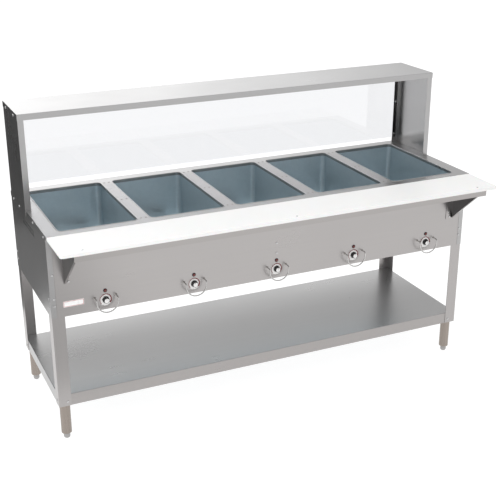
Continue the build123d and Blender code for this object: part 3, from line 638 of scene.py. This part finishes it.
def spot_weld_rims():
    """The heat-darkened lip that each spot weld raised on the strips between the openings."""
    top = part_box("worktop")[1].z
    lip = [(2.5, -0.4), (2.5, 0.25), (2.9, 0.6), (3.4, 0.65), (4.0, 0.35), (4.4, 0.05)]
    lip.append((4.4, -0.4))
    bm = bmesh.new()
    for number in NUMBERS[:-1]:
        strip = (middle(f"well_liner_{number}") + middle(f"well_liner_{number + 1}")) / 2
        for along in (-SPOT_REACH, 0.0, SPOT_REACH):
            for across in (-SPOT_APART, SPOT_APART):
                spot = (strip.x + across * MM, strip.y + along * MM, top)
                close_rings(bm, lathe(bm, lip, 24, Matrix.Translation(spot)))
    piece("spot_weld_rims", bm, ("weld",), "frame")


BRACKET_FLANGE = 1.9
BRACKET_SCREW = (17.0, 9.5)


def bracket_screws():
    """A pan head at the foot of each board bracket, on its panel flange."""
    head = [(0, -0.4), (4.4, -0.4), (4.6, 0.4), (4.3, 1.6), (3.4, 2.5), (1.8, 3.0), (0, 3.1)]
    inward, up = (offset * MM for offset in BRACKET_SCREW)
    bm = bmesh.new()
    for side in SIDES:
        low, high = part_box(f"board_bracket_{side}")
        x = low.x + inward if side == "left" else high.x - inward
        on_flange = on_panel(x, low.z + up) @ Matrix.Translation((0, 0, BRACKET_FLANGE * MM))
        lathe(bm, head, 32, on_flange)
    piece("bracket_screws", bm, ("screw",), "frame")


for number in NUMBERS:
    knob(number)
for corner in FEET:
    foot(corner)
dials()
pilots()
weld_beads()
well_beads()
spot_weld_rims()
bracket_screws()
badge()

# ---------------------------------------------------------------- studio

scene = bpy.context.scene
scene.view_settings.view_transform = "Standard"
BLACK = rgb(0, 0, 0)
WHITE = rgb(1, 1, 1)
FLOOR_REACH = 60.0
FLOOR_GLOW = 0.80
FLOOR_LIFT = 0.055
BASE_GLOW = 0.72
PATCHES = [((-0.09, 0.98, 0.14), 45, 1.3), ((0.0, 0.0, 1.0), 60, 0.3)]


def flat_mesh(name, corners, material):
    """A single face that is part of the studio."""
    mesh = bpy.data.meshes.new(name)
    mesh.from_pydata(corners, [], [tuple(range(len(corners)))])
    mesh.materials.append(material)
    made = bpy.data.objects.new(name, mesh)
    scene.collection.objects.link(made)
    return made


def pale_floor():
    """A glowing floor, a little brighter to the camera, so that it shows as plain white."""
    paper = Finish("floor_paper", Roughness=1.0, Specular_IOR_Level=0.0)
    grain = paper.noise((30, 30, 30), 3.0)
    share = paper.span(grain, 0.0, 1.0)
    paper.wire("Base Color", paper.mix(share, rgb(0.27, 0.27, 0.27), rgb(0.29, 0.29, 0.29)))
    paper.surface.inputs["Emission Color"].default_value = WHITE
    seen = paper.add("ShaderNodeLightPath", {}).outputs["Is Camera Ray"]
    lifted = paper.math("MULTIPLY", seen, FLOOR_LIFT)
    paper.wire("Emission Strength", paper.math("ADD", lifted, FLOOR_GLOW))
    far = FLOOR_REACH
    corners = [(-far, -far, 0), (far, -far, 0), (far, far, 0), (-far, far, 0)]
    flat_mesh("floor", corners, paper.material)


def card(name, low, high, glow):
    """A flat grey card between two opposite corners. It is seen only in reflections."""
    grey = Finish(f"{name}_grey", Roughness=1.0, Base_Color=BLACK, Specular_IOR_Level=0.0)
    grey.surface.inputs["Emission Color"].default_value = WHITE
    grey.surface.inputs["Emission Strength"].default_value = glow
    corners = [low, (high[0], low[1], low[2]), high, (low[0], high[1], high[2])]
    made = flat_mesh(name, corners, grey.material)
    made.visible_camera = False
    made.visible_diffuse = False
    made.visible_transmission = False
    made.visible_volume_scatter = False
    made.visible_shadow = False


def softbox(name, at, towards, size, radiance, glossy=True):
    """A rectangular area light with that radiance."""
    data = bpy.data.lights.new(name, "AREA")
    data.shape = "RECTANGLE"
    data.size, data.size_y = size
    data.energy = radiance * math.pi * size[0] * size[1]
    made = bpy.data.objects.new(name, data)
    made.location = at
    made.rotation_mode = "QUATERNION"
    made.rotation_quaternion = (Vector(towards) - Vector(at)).to_track_quat("-Z", "Y")
    made.visible_camera = False
    made.visible_glossy = glossy
    scene.collection.objects.link(made)


def studio_world():
    """A white surround for the camera; for light, a dimmer one with soft bright patches.

    What is seen straight through the clear guard is the same white.
    """
    world = bpy.data.worlds.new("studio")
    scene.world = world
    world.use_nodes = True
    tree = world.node_tree

    def combine(operation, first, second):
        inputs = {0: first, 1: second}
        return add_node(tree, "ShaderNodeMath", inputs, operation=operation).outputs[0]

    direction = tree.nodes.new("ShaderNodeTexCoord").outputs["Generated"]
    total = BASE_GLOW
    for towards, spread, gain in PATCHES:
        inputs = {0: direction, 1: Vector(towards).normalized()}
        facing = add_node(tree, "ShaderNodeVectorMath", inputs, operation="DOT_PRODUCT")
        edge = math.cos(math.radians(spread))
        inputs = {0: facing.outputs["Value"], 1: edge, 2: 1.0, 3: 0.0, 4: gain}
        patch = add_node(tree, "ShaderNodeMapRange", inputs, interpolation_type="SMOOTHSTEP")
        total = combine("ADD", total, patch.outputs[0])
    path = tree.nodes.new("ShaderNodeLightPath").outputs
    direct = combine("LESS_THAN", path["Glossy Depth"], 0.5)
    through = combine("MULTIPLY", path["Is Transmission Ray"], direct)
    seen = combine("MAXIMUM", path["Is Camera Ray"], through)
    inputs = {0: seen, 2: total, 3: 1.0}
    strength = add_node(tree, "ShaderNodeMix", inputs, data_type="FLOAT").outputs[0]
    background = tree.nodes["Background"]
    background.inputs["Color"].default_value = WHITE
    tree.links.new(strength, background.inputs["Strength"])


pale_floor()
card("card_left_low", (-3.2, 1.10, 0.0), (-0.95, 1.10, 0.45), 0.18)
card("card_left_high", (-3.2, 1.10, 0.45), (-0.95, 1.10, 1.4), 0.05)
card("card_rear_low", (-0.80, 1.05, 0.05), (3.0, 1.05, 0.62), 1.35)
card("card_rear_high", (-0.80, 1.05, 0.62), (3.0, 1.05, 0.86), 0.45)
card("card_floor", (-3.0, -4.5, 0.003), (-0.42, -0.62, 0.003), 0.72)
softbox("overhead", (0.0, 0.2, 3.4), (0.0, 0.2, 0.0), (4.0, 3.0), 0.3)
softbox("left", (-3.2, 0.3, 2.6), (0.0, 0.0, 0.8), (1.2, 2.5), 3.0)
softbox("front", (-1.8, -3.6, 3.0), (0.0, 0.0, 0.6), (2.6, 2.0), 2.6, glossy=False)
studio_world()
NODES["sneeze_guard"].visible_shadow = False

# ---------------------------------------------------------------- camera

CAMERA_AT = Vector((-1.61718, -3.48376, 2.11433))
YAW = math.radians(24.5634)
PITCH = math.radians(-21.6462)
ROLL = math.radians(-0.0982)
lens = bpy.data.cameras.new("camera")
lens.sensor_width = 36.0
lens.lens = 70.696944
lens.clip_start, lens.clip_end = 0.05, 200.0
camera = bpy.data.objects.new("camera", lens)
camera.location = CAMERA_AT
level = math.cos(PITCH)
ahead = Vector((math.sin(YAW) * level, math.cos(YAW) * level, math.sin(PITCH)))
rolled = Matrix.Rotation(ROLL, 4, "Z").to_quaternion()
camera.rotation_mode = "QUATERNION"
camera.rotation_quaternion = ahead.to_track_quat("-Z", "Y") @ rolled
scene.collection.objects.link(camera)
scene.camera = camera
